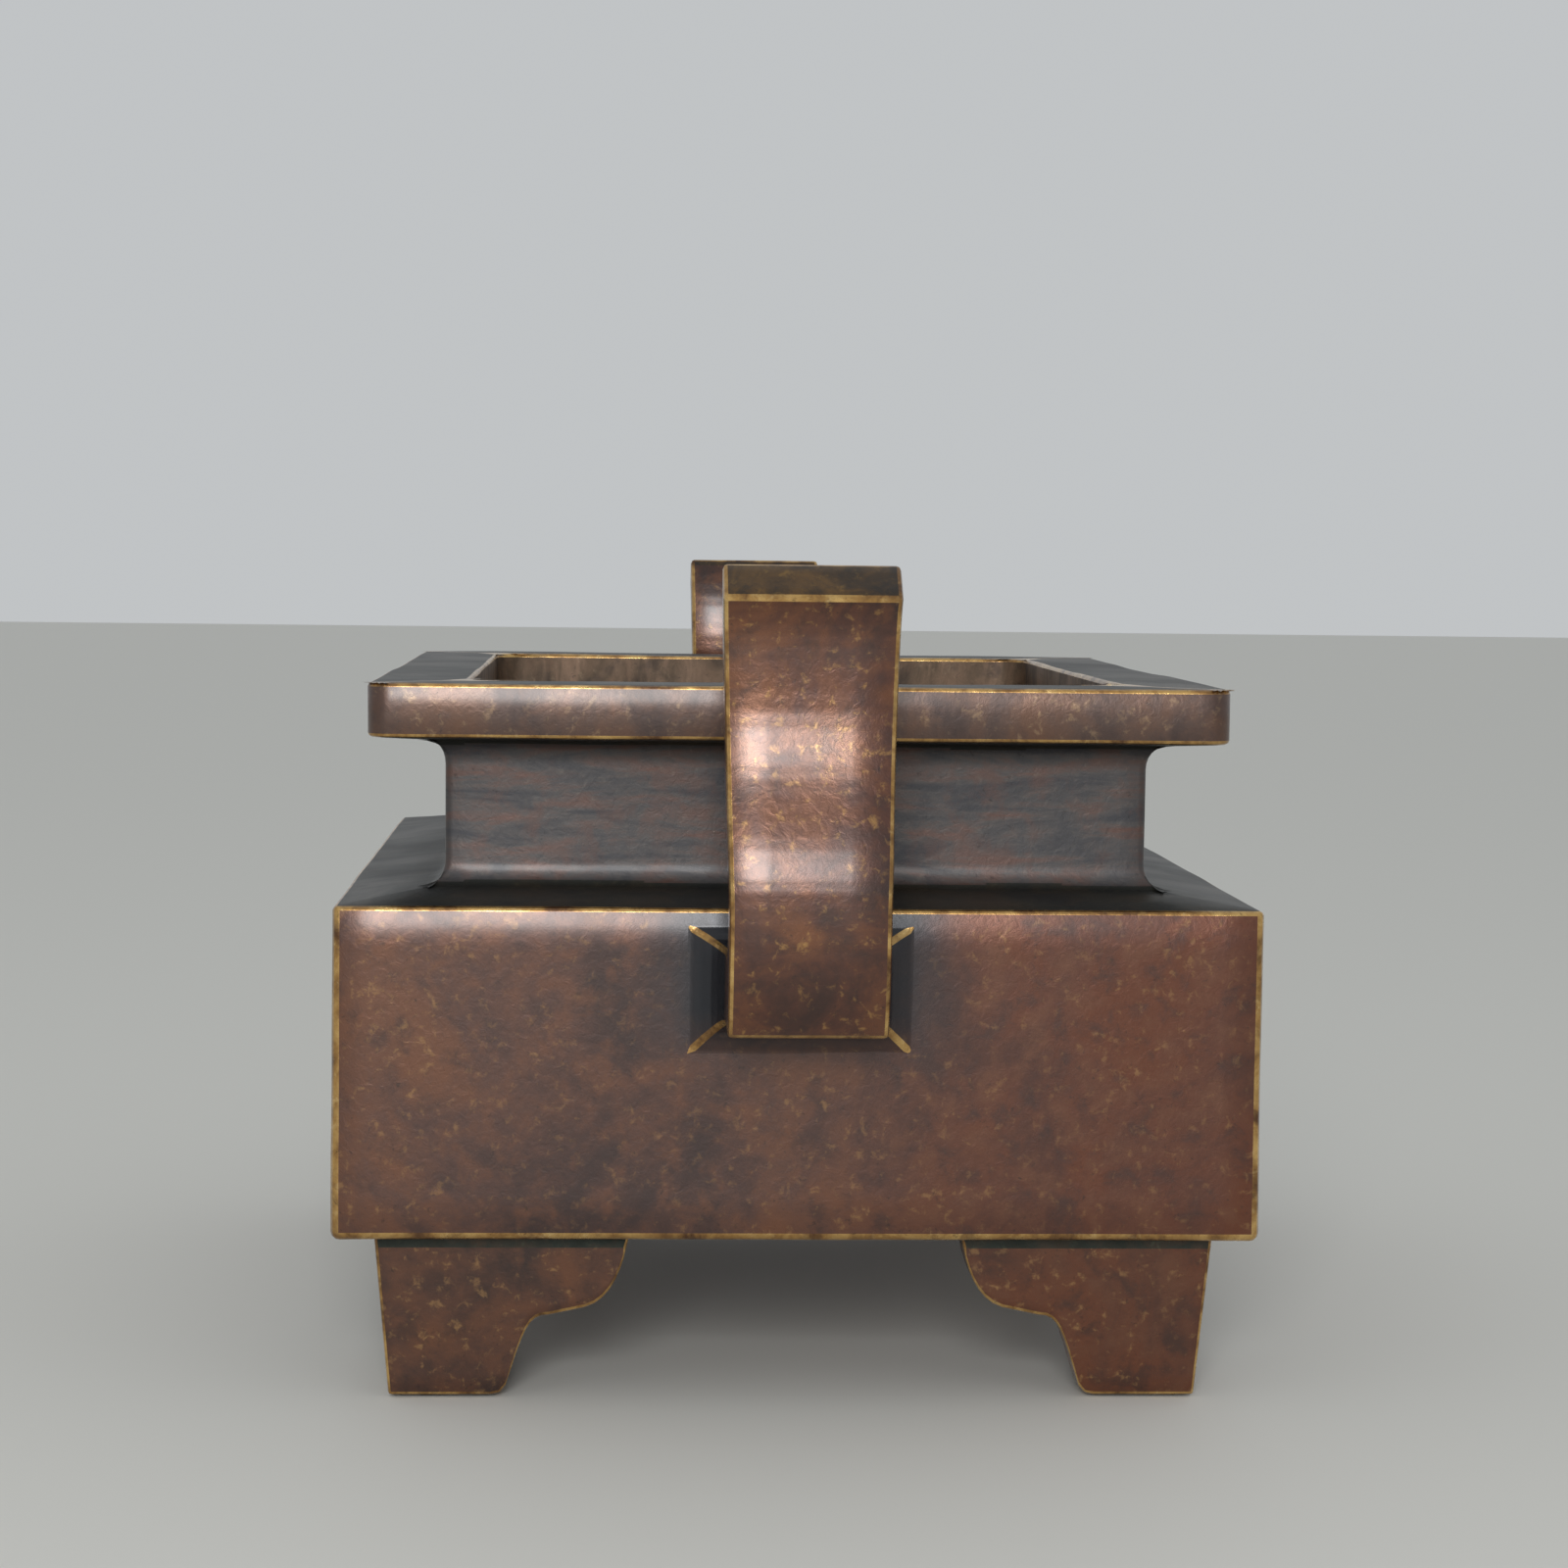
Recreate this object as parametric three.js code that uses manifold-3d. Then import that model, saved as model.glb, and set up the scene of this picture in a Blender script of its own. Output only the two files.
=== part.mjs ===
// Rectangular incense burner of table form, in cast bronze: a box-shaped belly on four bracket feet,
// a waisted neck, a flat out-turned rim round an oblong mouth, and an S-curved strap handle on each end.
// The body is one hollow casting. Feet and handles are castings of their own, each held by copper rivets that
// are driven from inside the belly. Millimetres, +Z up, the floor at z = 0, handles on the -Y and +Y ends.
import * as THREE from "three";
import { mergeVertices } from "three/addons/utils/BufferGeometryUtils.js";
import Module from "manifold-3d";

const wasm = await Module();
wasm.setup();

// Body casting
const bellyWidth = 108; // across X, side to side
const bellyLength = 134; // along Y, from one handled end to the other
const bellyHeight = 38.8; // flat sides, from the underside to the shoulder's edge
const bellyCorner = 1.6; // radius of the belly's upright edges
const undersideRound = 1.8; // radius under the belly's lower edge
const edgeBevel = 0.5; // worn bevel along the belly's and the rim's sharp edges
const shoulderRise = 1.4; // how far the shoulder climbs before the neck's fillet
const neckInset = 12.5; // from the belly's side in to the neck at its narrowest
const neckFillet = 2.8; // concave radius at the neck's foot and under the rim
const neckWaist = 0.35; // how far the neck's face hollows between its fillets
const neckCorner = 1; // radius of the neck's upright edges
const recessHeight = 19.2; // from the shoulder's edge up to the rim's lower edge
const rimInset = 3.6; // from the belly's side in to the rim's edge
const rimThickness = 6.5; // at the rim's outer edge
const rimUnderRise = 0.75; // the rim's underside climbs this much towards its edge
const rimCorner = 2.6; // radius of the rim's upright corners
const rimFlange = 11.5; // width of the rim's flat top
const mouthCorner = 4; // inside corner radius of the mouth
const mouthBevel = 0.8; // worn bevel round the mouth
const wall = 3.2; // thickness of the belly's sides
const bottomThickness = 4;
const shoulderThickness = 3.4;
const chamberFillet = 3; // inside radius between the belly's floor and walls
const chamberBevel = 1; // inside bevel between the walls and the shoulder
const chamberCorner = 3; // inside radius of the belly's upright corners

// Bracket feet
const footHeight = 19.4;
const footInsetTop = 4.8; // from the belly's side in to the foot's face, at the belly
const footInsetFloor = 6.4; // the same at the floor, so the feet lean inwards
const footSpread = 29.7; // length of each wing where it meets the belly
const footPad = 12; // width of the foot on the floor
const wingThickness = 6;
const lobeWidth = 5.7; // the rounded upper lobe of the wing's scroll
const lobeHeight = 8.7;
const shelfWidth = 4.3; // the short near-level step between the lobe and the cove
const shelfDrop = 0.9;
const coveWidth = 4.2; // the hollow below the step
const coveHeight = 4.6;
const toeRound = 1.2; // small round where the wing meets the floor
const postNotch = 2; // bevel on the post's inner corner

// Strap handles. Reach is measured outwards from the belly's end wall.
const handleDrop = 12.7; // from the shoulder's edge down to the handle's underside
const stemThickness = 8.5; // height of the level stem that leaves the wall
const strapThickness = 6;
const lipThickness = 5.9; // length of the cut end at the handle's top
const underEdgeReach = 16.5; // the handle's lower front edge
const bulgeReach = 20.2; // the handle's furthest point
const bulgeAbove = 14.8; // height of that point above the handle's underside
const waistReach = 15.2; // the front face where the handle draws in, level with the rim's top
const lipReach = 17.3; // the lip's front edge
const lipRise = 10.3; // the lip's front edge above the rim's top
const lipLean = 40; // degrees that the strap leans outwards at its lip
const underEdgeLean = 36; // degrees that the front face tucks in at its lower edge
const stemBend = 5; // inside radius between the stem and the strap
const strapWidthFoot = 17.9;
const strapWidthLip = 19.8;
const strapBevel = 0.6; // softened long edges of the strap
const rootFlare = 5; // the root spreads this far over the wall, sideways and down
const rootFlareUp = 2.8; // and this far upwards
const rootFlareDepth = 5; // how far out from the wall the spread begins
const rootEdge = 0.4; // thickness of the root's outer edge

// Copper rivets
const handleRivetShank = 4; // diameters
const handleRivetHead = 7.6;
const footRivetShank = 4.4;
const footRivetHead = 8.6;
const rivetHeadHeight = 1.7;
const handleRivetSpacing = 10; // centre to centre
const handleRivetGrip = 7; // how far the shank goes into the handle's root
const footRivetGrip = 9; // how far it goes into the foot
const rivetClearance = 0.15; // round the shank
const rivetEndGap = 0.3; // beyond the shank's end

// Fineness of the round shapes
const cornerSteps = 5;
const filletSteps = 6;
const curveSteps = 12;
const shankSides = 20;

// Levels and places that follow from the sizes above
const bellyTop = footHeight + bellyHeight;
const rimUnder = bellyTop + recessHeight;
const rimTop = rimUnder + rimThickness;
const floorTop = footHeight + bottomThickness;
const chamberTop = bellyTop - shoulderThickness;
const mouthInset = rimInset + rimFlange;
const endWall = bellyLength / 2;
const stemUnder = bellyTop - handleDrop;
const stemTop = stemUnder + stemThickness;
const rivetLevel = stemUnder + stemThickness / 2;
const postCentre = footPad / 2;

// Finishes
const patina = new THREE.MeshStandardMaterial({ color: 0x6b3a26, roughness: 0.38, metalness: 0.85 });
const handlePatina = new THREE.MeshStandardMaterial({ color: 0x70401f, roughness: 0.34, metalness: 0.85 });
const footPatina = new THREE.MeshStandardMaterial({ color: 0x663824, roughness: 0.42, metalness: 0.85 });
const copper = new THREE.MeshStandardMaterial({ color: 0x9a5b3c, roughness: 0.45, metalness: 0.9 });

// A closed geometry as a solid that can be joined and cut.
function solidOf(geometry) {
  const bare = geometry.clone();
  bare.deleteAttribute("normal");
  bare.deleteAttribute("uv");
  const merged = mergeVertices(bare, 1e-4);
  return new wasm.Manifold(
    new wasm.Mesh({
      numProp: 3,
      vertProperties: new Float32Array(merged.attributes.position.array),
      triVerts: new Uint32Array(merged.index.array),
    }),
  );
}

// The geometry of a joined or cut solid.
function geometryOf(solid) {
  const mesh = solid.getMesh();
  const geometry = new THREE.BufferGeometry();
  geometry.setAttribute("position", new THREE.BufferAttribute(new Float32Array(mesh.vertProperties), 3));
  geometry.setIndex(new THREE.BufferAttribute(new Uint32Array(mesh.triVerts), 1));
  geometry.computeVertexNormals();
  return geometry;
}

// One level outline of the body: a rectangle with round corners, anticlockwise seen from above.
function roundedRing(halfX, halfY, radius, z) {
  const ring = [];
  const centres = [
    [halfX - radius, halfY - radius],
    [-halfX + radius, halfY - radius],
    [-halfX + radius, -halfY + radius],
    [halfX - radius, -halfY + radius],
  ];
  centres.forEach(([x, y], quarter) => {
    for (let i = 0; i <= cornerSteps; i++) {
      const angle = ((quarter + i / cornerSteps) * Math.PI) / 2;
      ring.push([x + radius * Math.cos(angle), y + radius * Math.sin(angle), z]);
    }
  });
  return ring;
}

// A closed solid through rings of equal count, each anticlockwise seen from where the last ring lies.
function loft(rings) {
  const count = rings[0].length;
  const index = [];
  for (let i = 1; i < count - 1; i++) {
    index.push(0, i + 1, i);
    const last = (rings.length - 1) * count;
    index.push(last, last + i, last + i + 1);
  }
  for (let level = 0; level < rings.length - 1; level++) {
    for (let i = 0; i < count; i++) {
      const a = level * count + i;
      const b = level * count + ((i + 1) % count);
      index.push(a, b, b + count, a, b + count, a + count);
    }
  }
  const geometry = new THREE.BufferGeometry();
  geometry.setAttribute("position", new THREE.Float32BufferAttribute(rings.flat(2), 3));
  geometry.setIndex(index);
  return geometry;
}

// Points of a quarter round from one direction to another, as [sideways, upwards] shares of the radius.
function quarter(fromDegrees, toDegrees) {
  const points = [];
  for (let i = 0; i <= filletSteps; i++) {
    const angle = THREE.MathUtils.degToRad(fromDegrees + ((toDegrees - fromDegrees) * i) / filletSteps);
    points.push([Math.cos(angle), Math.sin(angle)]);
  }
  return points;
}

// A body section at an inset from the belly's side.
function bodyRing(inset, z, radius) {
  return roundedRing(bellyWidth / 2 - inset, bellyLength / 2 - inset, radius, z);
}

// A straight round bar along Z, centred on a point.
function bar(diameter, length, x, y, z) {
  const geometry = new THREE.CylinderGeometry(diameter / 2, diameter / 2, length, shankSides);
  return geometry.rotateX(Math.PI / 2).translate(x, y, z);
}

// Where each foot's post stands, and each foot's quarter turn.
const footPlaces = [
  { name: "front_left", x: -1, y: -1, turn: 0 },
  { name: "front_right", x: 1, y: -1, turn: 1 },
  { name: "back_right", x: 1, y: 1, turn: 2 },
  { name: "back_left", x: -1, y: 1, turn: 3 },
];
const footCornerX = bellyWidth / 2 - footInsetTop;
const footCornerY = bellyLength / 2 - footInsetTop;
const rivetInset = postCentre + (footInsetFloor - footInsetTop) / 2;
const footRivetX = footCornerX - rivetInset;
const footRivetY = footCornerY - rivetInset;

// Outside of the body, from the underside up to the rim's flat top.
function bodyOutside() {
  const rings = [];
  for (const [side, up] of quarter(-90, 0)) {
    rings.push(
      bodyRing(undersideRound * (1 - side), footHeight + undersideRound * (1 + up), bellyCorner),
    );
  }
  rings.push(bodyRing(0, bellyTop - edgeBevel, bellyCorner));
  rings.push(bodyRing(edgeBevel, bellyTop, bellyCorner));
  const shoulderEnd = neckInset - neckFillet;
  const neckFoot = bellyTop + shoulderRise;
  for (const [side, up] of quarter(-90, 0)) {
    rings.push(bodyRing(shoulderEnd + neckFillet * side, neckFoot + neckFillet * (1 + up), neckCorner));
  }
  const neckHead = rimUnder - rimUnderRise;
  rings.push(bodyRing(neckInset + neckWaist, (neckFoot + neckHead) / 2, neckCorner));
  for (const [side, up] of quarter(0, 90)) {
    rings.push(bodyRing(shoulderEnd + neckFillet * side, neckHead - neckFillet * (1 - up), neckCorner));
  }
  rings.push(bodyRing(rimInset + edgeBevel, rimUnder, rimCorner));
  rings.push(bodyRing(rimInset, rimUnder + edgeBevel, rimCorner));
  rings.push(bodyRing(rimInset, rimTop - edgeBevel, rimCorner));
  rings.push(bodyRing(rimInset + edgeBevel, rimTop, rimCorner));
  return loft(rings);
}

// The room inside: the belly's chamber, the neck's bore and the mouth's bevel.
function bodyInside() {
  const rings = [];
  for (const [side, up] of quarter(-90, 0)) {
    const inset = wall + chamberFillet * (1 - side);
    rings.push(bodyRing(inset, floorTop + chamberFillet * (1 + up), chamberCorner));
  }
  rings.push(bodyRing(wall, chamberTop - chamberBevel, chamberCorner));
  rings.push(bodyRing(wall + chamberBevel, chamberTop, chamberCorner));
  rings.push(bodyRing(mouthInset, chamberTop + shoulderRise, mouthCorner));
  rings.push(bodyRing(mouthInset, rimTop - mouthBevel, mouthCorner));
  rings.push(bodyRing(mouthInset - mouthBevel, rimTop, mouthCorner));
  rings.push(bodyRing(mouthInset - mouthBevel, rimTop + mouthBevel, mouthCorner));
  return loft(rings);
}

function makeBody() {
  let body = solidOf(bodyOutside()).subtract(solidOf(bodyInside()));
  const footHole = footRivetShank + 2 * rivetClearance;
  for (const place of footPlaces) {
    const hole = bar(footHole, 4 * bottomThickness, place.x * footRivetX, place.y * footRivetY, footHeight);
    body = body.subtract(solidOf(hole));
  }
  const handleHole = handleRivetShank + 2 * rivetClearance;
  for (const end of [-1, 1]) {
    for (const side of [-1, 1]) {
      const hole = bar(handleHole, 4 * wall, 0, 0, 0).rotateX(Math.PI / 2);
      hole.translate((side * handleRivetSpacing) / 2, end * endWall, rivetLevel);
      body = body.subtract(solidOf(hole));
    }
  }
  return geometryOf(body);
}

// Outline of a foot's wing: across from the outer corner, and up from the floor. The scroll runs from the
// toe up through a cove, a short step and a rounded lobe to the belly.
function wingOutline() {
  const lobeX = footSpread - lobeWidth;
  const lobeZ = footHeight - lobeHeight;
  const shelfX = lobeX - shelfWidth;
  const shelfZ = lobeZ - shelfDrop;
  const legX = shelfX - coveWidth;
  const legZ = shelfZ - coveHeight;
  const outline = new THREE.Shape();
  outline.moveTo(0, 0);
  outline.lineTo(footPad, 0);
  outline.quadraticCurveTo(footPad + toeRound, 0, footPad + 1.6 * toeRound, toeRound);
  outline.lineTo(legX, legZ);
  outline.bezierCurveTo(
    legX + 0.35 * coveWidth, shelfZ - 0.25 * coveHeight,
    shelfX - 0.5 * coveWidth, shelfZ,
    shelfX, shelfZ,
  );
  outline.lineTo(lobeX, lobeZ);
  outline.bezierCurveTo(
    lobeX + 0.55 * lobeWidth, lobeZ + 0.1 * lobeHeight,
    footSpread - 0.15 * lobeWidth, lobeZ + 0.55 * lobeHeight,
    footSpread, footHeight,
  );
  outline.lineTo(0, footHeight);
  return outline;
}

// One bracket foot with its outer corner at x = y = 0 under the belly and its wings along +X and +Y.
function makeFoot() {
  const wing = new THREE.ExtrudeGeometry(wingOutline(), {
    depth: wingThickness,
    bevelEnabled: false,
    curveSegments: curveSteps,
  });
  const alongX = wing.clone().rotateX(Math.PI / 2).translate(0, wingThickness, 0);
  const alongY = wing.clone().rotateX(Math.PI / 2).rotateZ(Math.PI / 2);
  const postShape = new THREE.Shape();
  postShape.moveTo(0, 0);
  postShape.lineTo(footPad, 0);
  postShape.lineTo(footPad, footPad - postNotch);
  postShape.lineTo(footPad - postNotch, footPad);
  postShape.lineTo(0, footPad);
  const post = new THREE.ExtrudeGeometry(postShape, { depth: footHeight, bevelEnabled: false });
  let foot = solidOf(alongX).add(solidOf(alongY)).add(solidOf(post));
  const lean = (footInsetFloor - footInsetTop) / footHeight;
  foot = foot.warp((vertex) => {
    const inwards = lean * (footHeight - vertex[2]);
    vertex[0] += inwards;
    vertex[1] += inwards;
  });
  const depth = footRivetGrip + rivetEndGap;
  const hole = bar(footRivetShank + 2 * rivetClearance, 2 * depth, rivetInset, rivetInset, footHeight);
  return geometryOf(foot.subtract(solidOf(hole)));
}

// Side view of a handle: outwards from the wall, and upwards.
function handleOutline() {
  const lean = THREE.MathUtils.degToRad(lipLean);
  const tuck = THREE.MathUtils.degToRad(underEdgeLean);
  const bulgeZ = stemUnder + bulgeAbove;
  const lipZ = rimTop + lipRise;
  const rise = rimTop - bulgeZ;
  const lipBackX = lipReach - lipThickness * Math.cos(lean);
  const lipBackZ = lipZ + lipThickness * Math.sin(lean);
  const outline = new THREE.Shape();
  const start = rootFlareDepth / 4;
  outline.moveTo(start, stemUnder);
  outline.lineTo(underEdgeReach, stemUnder);
  // front face: out to the bulge, in to the waist, out to the lip
  outline.bezierCurveTo(
    underEdgeReach + (bulgeAbove / 3) * Math.sin(tuck), stemUnder + (bulgeAbove / 3) * Math.cos(tuck),
    bulgeReach, bulgeZ - bulgeAbove / 3,
    bulgeReach, bulgeZ,
  );
  outline.bezierCurveTo(
    bulgeReach, bulgeZ + 0.34 * rise,
    waistReach, rimTop - 0.46 * rise,
    waistReach, rimTop,
  );
  outline.bezierCurveTo(
    waistReach, rimTop + 0.5 * lipRise,
    lipReach - 0.3 * lipRise * Math.sin(lean), lipZ - 0.3 * lipRise * Math.cos(lean),
    lipReach, lipZ,
  );
  outline.lineTo(lipBackX, lipBackZ);
  // back face, on the same curve one thickness in
  const backWaist = waistReach - strapThickness;
  const backBulge = bulgeReach - strapThickness;
  outline.bezierCurveTo(
    lipBackX - 0.3 * lipRise * Math.sin(lean), lipBackZ - 0.3 * lipRise * Math.cos(lean),
    backWaist, rimTop + 0.6 * lipRise,
    backWaist, rimTop,
  );
  outline.bezierCurveTo(
    backWaist, rimTop - 0.46 * rise,
    backBulge, bulgeZ + 0.34 * rise,
    backBulge, bulgeZ,
  );
  outline.lineTo(backBulge, stemTop + stemBend);
  outline.quadraticCurveTo(backBulge, stemTop, backBulge - stemBend, stemTop);
  outline.lineTo(start, stemTop);
  return outline;
}

// Half the strap's width at a height: even up to the bulge, then widening to the lip.
function strapHalfWidth(z) {
  const bulgeZ = stemUnder + bulgeAbove;
  const lipZ = rimTop + lipRise;
  const share = THREE.MathUtils.clamp((z - bulgeZ) / (lipZ - bulgeZ), 0, 1);
  return THREE.MathUtils.lerp(strapWidthFoot, strapWidthLip, share) / 2;
}

// The root that spreads over the wall: level sections of a rectangle that shrinks in a hollow curve.
function handleRoot() {
  const rings = [];
  for (const [side, up] of quarter(180, 90)) {
    const out = rootEdge + (rootFlareDepth - rootEdge) * (1 + side);
    const spread = 1 - up;
    const halfX = strapWidthFoot / 2 + rootFlare * spread;
    const low = stemUnder - rootFlare * spread;
    const high = stemTop + rootFlareUp * spread;
    const section = [[halfX, -out, low], [halfX, -out, high], [-halfX, -out, high], [-halfX, -out, low]];
    rings.push(section);
  }
  rings.unshift(rings[0].map(([x, , z]) => [x, 0, z]));
  return loft(rings);
}

// One handle with the wall's face at y = 0, reaching out along -Y.
function makeHandle() {
  const strap = new THREE.ExtrudeGeometry(handleOutline(), {
    depth: strapWidthFoot - 2 * strapBevel,
    bevelThickness: strapBevel,
    bevelSize: strapBevel,
    bevelOffset: -strapBevel,
    bevelSegments: 2,
    curveSegments: curveSteps,
  });
  strap.translate(0, 0, strapBevel - strapWidthFoot / 2);
  const basis = new THREE.Matrix4().makeBasis(
    new THREE.Vector3(0, -1, 0),
    new THREE.Vector3(0, 0, 1),
    new THREE.Vector3(-1, 0, 0),
  );
  strap.applyMatrix4(basis);
  const tapered = solidOf(strap).warp((vertex) => {
    vertex[0] *= (2 * strapHalfWidth(vertex[2])) / strapWidthFoot;
  });
  let handle = tapered.add(solidOf(handleRoot()));
  const depth = handleRivetGrip + rivetEndGap;
  for (const side of [-1, 1]) {
    const hole = bar(handleRivetShank + 2 * rivetClearance, 2 * depth, 0, 0, 0).rotateX(Math.PI / 2);
    hole.translate((side * handleRivetSpacing) / 2, 0, rivetLevel);
    handle = handle.subtract(solidOf(hole));
  }
  return geometryOf(handle);
}

// A domed rivet on the Z axis: its head sits above z = 0 and its shank hangs below.
function makeRivet(shank, head, length) {
  const profile = [new THREE.Vector2(0, -length), new THREE.Vector2(shank / 2, -length)];
  profile.push(new THREE.Vector2(shank / 2, 0));
  for (const [side, up] of quarter(0, 90)) {
    profile.push(new THREE.Vector2((head / 2) * side, rivetHeadHeight * up));
  }
  profile[profile.length - 1].x = 0;
  return new THREE.LatheGeometry(profile, shankSides).rotateX(Math.PI / 2);
}

const burner = new THREE.Group();

function place(name, geometry, material, position, turn = 0) {
  const mesh = new THREE.Mesh(geometry, material);
  mesh.name = name;
  mesh.position.set(...position);
  mesh.rotation.z = turn;
  burner.add(mesh);
  return mesh;
}

place("body", makeBody(), patina, [0, 0, 0]);

const handle = makeHandle();
place("handle_front", handle, handlePatina, [0, -endWall, 0]);
place("handle_back", handle, handlePatina, [0, endWall, 0], Math.PI);

const foot = makeFoot();
for (const corner of footPlaces) {
  const position = [corner.x * footCornerX, corner.y * footCornerY, 0];
  place(`foot_${corner.name}`, foot, footPatina, position, (corner.turn * Math.PI) / 2);
}

const footRivet = makeRivet(footRivetShank, footRivetHead, bottomThickness + footRivetGrip);
for (const corner of footPlaces) {
  const position = [corner.x * footRivetX, corner.y * footRivetY, floorTop];
  place(`foot_rivet_${corner.name}`, footRivet, copper, position);
}

// The handle rivets lie level, their heads on the inner face of the end wall.
const handleRivet = makeRivet(handleRivetShank, handleRivetHead, wall + handleRivetGrip);
handleRivet.rotateX(-Math.PI / 2);
const rivetSeat = endWall - wall;
for (const [end, y, turn] of [["front", -rivetSeat, 0], ["back", rivetSeat, Math.PI]]) {
  for (const [side, x] of [["left", -handleRivetSpacing / 2], ["right", handleRivetSpacing / 2]]) {
    place(`handle_rivet_${end}_${side}`, handleRivet, copper, [x, y, rivetLevel], turn);
  }
}

export default burner;
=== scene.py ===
"""Looks of an oblong bronze incense burner: its castings, its patina, and the view and light that show it.

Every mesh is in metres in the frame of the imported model. Sizes in the classes are in millimetres, as a
founder would give them, and mm() turns them to metres.
"""

import logging
import math
from dataclasses import dataclass, field
from enum import Enum
from typing import Callable

import bmesh
import bpy
from mathutils import Matrix, Vector

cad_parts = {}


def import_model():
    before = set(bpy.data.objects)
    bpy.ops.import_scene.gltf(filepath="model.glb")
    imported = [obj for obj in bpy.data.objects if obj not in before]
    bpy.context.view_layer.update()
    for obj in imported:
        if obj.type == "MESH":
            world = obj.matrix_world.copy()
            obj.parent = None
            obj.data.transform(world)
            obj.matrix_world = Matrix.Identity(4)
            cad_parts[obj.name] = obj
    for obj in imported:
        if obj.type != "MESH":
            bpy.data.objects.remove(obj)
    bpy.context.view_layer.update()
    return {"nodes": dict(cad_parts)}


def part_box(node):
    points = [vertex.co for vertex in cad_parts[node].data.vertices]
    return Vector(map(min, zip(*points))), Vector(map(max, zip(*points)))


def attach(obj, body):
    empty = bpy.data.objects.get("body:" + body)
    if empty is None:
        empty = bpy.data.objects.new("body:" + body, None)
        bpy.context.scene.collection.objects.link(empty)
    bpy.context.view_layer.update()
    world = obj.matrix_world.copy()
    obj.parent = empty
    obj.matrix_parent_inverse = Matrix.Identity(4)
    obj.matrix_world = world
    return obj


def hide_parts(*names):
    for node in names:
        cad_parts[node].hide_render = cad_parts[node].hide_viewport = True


LOG = logging.getLogger("burner")
MILLIMETRE = 0.001
PHOTO_SIDE = 1600
SENSOR_MM = 36.0
ROOT = "root"

# In millimetres: how near counts as at a place, and the least move worth making
PLACE_TOLERANCE = 0.02
LEAST_MOVE = 1e-6

# How far along an axis a face's normal has to point for the face to be taken
SQUARELY = 0.9

# Sockets of a Mix node that mixes colours
MIX_SHARE, MIX_BELOW, MIX_ABOVE, MIX_RESULT = 0, 6, 7, 2

# Facets of a rubbed edge, of a soft corner and of a broad round
EDGE_FACETS, CORNER_FACETS, ROUND_FACETS = 2, 3, 6


def mm(value: float) -> float:
    """Returns millimetres as metres.

    Args:
        value: a length in millimetres.
    """
    return value * MILLIMETRE


def linear(hex_colour: str) -> tuple[float, float, float, float]:
    """Turns an sRGB hex colour to the linear values that shaders take.

    Args:
        hex_colour: six hex digits, with or without a leading hash.

    Returns:
        Red, green, blue and an alpha of 1.
    """
    digits = hex_colour.lstrip("#")
    shares = [int(digits[i:i + 2], 16) / 255 for i in (0, 2, 4)]
    red, green, blue = (c / 12.92 if c <= 0.04045 else ((c + 0.055) / 1.055) ** 2.4 for c in shares)
    return (red, green, blue, 1.0)


def add_node(tree: bpy.types.NodeTree, kind: str, inputs: dict | None = None, links: dict | None = None,
             **settings: object) -> bpy.types.Node:
    """Adds a shader node with its settings and links.

    Args:
        tree: the node tree.
        kind: the node's type, without the leading ShaderNode.
        inputs: plain values for input sockets, by name or number.
        links: output sockets to join to input sockets, by name or number.
        **settings: the node's own properties.

    Returns:
        The new node.
    """
    node = tree.nodes.new("ShaderNode" + kind)
    for name, value in settings.items():
        setattr(node, name, value)
    for name, value in (inputs or {}).items():
        node.inputs[name].default_value = value
    for name, socket in (links or {}).items():
        tree.links.new(socket, node.inputs[name])
    return node


class Grain(Enum):
    """How a patina's clouds run over the metal, as stretches along X, Y and Z."""

    ROUND = (1.0, 1.0, 1.0)
    LEVEL = (0.28, 0.28, 1.6)
    UPRIGHT = (1.3, 1.3, 0.6)


@dataclass(frozen=True)
class Band:
    """Where a layer of patina comes in: it goes from its least to its most between two values."""

    low: float
    high: float
    least: float = 0.0
    most: float = 1.0


# Broad clouds: the noise's values at which the deep, middle and warm tones stand
CLOUD_STOPS = (0.36, 0.5, 0.66)
NOISE_ROUGHNESS = 0.62

# Mottle, a few times as coarse as the flecks
MOTTLE_COARSENESS = 3.2
WARM_MOTTLE = Band(0.46, 0.68, most=0.6)
DEEP_MOTTLE = Band(0.50, 0.32, most=0.6)

# Worn flecks, and how the clouds thin them out
FLECK_VALUES = (0.55, 0.72)
FLECKS_IN_CLOUDS = Band(0.34, 0.62, least=0.35)

# Casting pores, finer than the flecks
PORE_FINENESS = 0.6
PORE_COLOUR = "#1a100c"
PORES = Band(0.60, 0.74, most=0.55)

# Painted shade round a handle's root, over patina that no hand rubs, and the warmer side, partly painted
# sheen
FRAYED_PAINTED_SHADE = Band(0.30, 0.56, least=0.72)
WARMTH_AND_SHEEN_ACROSS = Band(mm(-6), mm(34), most=0.8)
FRAYED_WARMTH_AND_SHEEN = Band(0.35, 0.6, least=0.55)

# Wax and the casting's own skin; the skin is drawn coarser than the real one, so that it shows
WAX_ROUGHNESS = 0.2
GLOSS_VALUES = (0.3, 0.7)
DULLER, SHINIER = 0.07, 0.05
CASTING_SKIN_MM = 1.1
RELIEF_STRENGTH = 0.5


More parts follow.
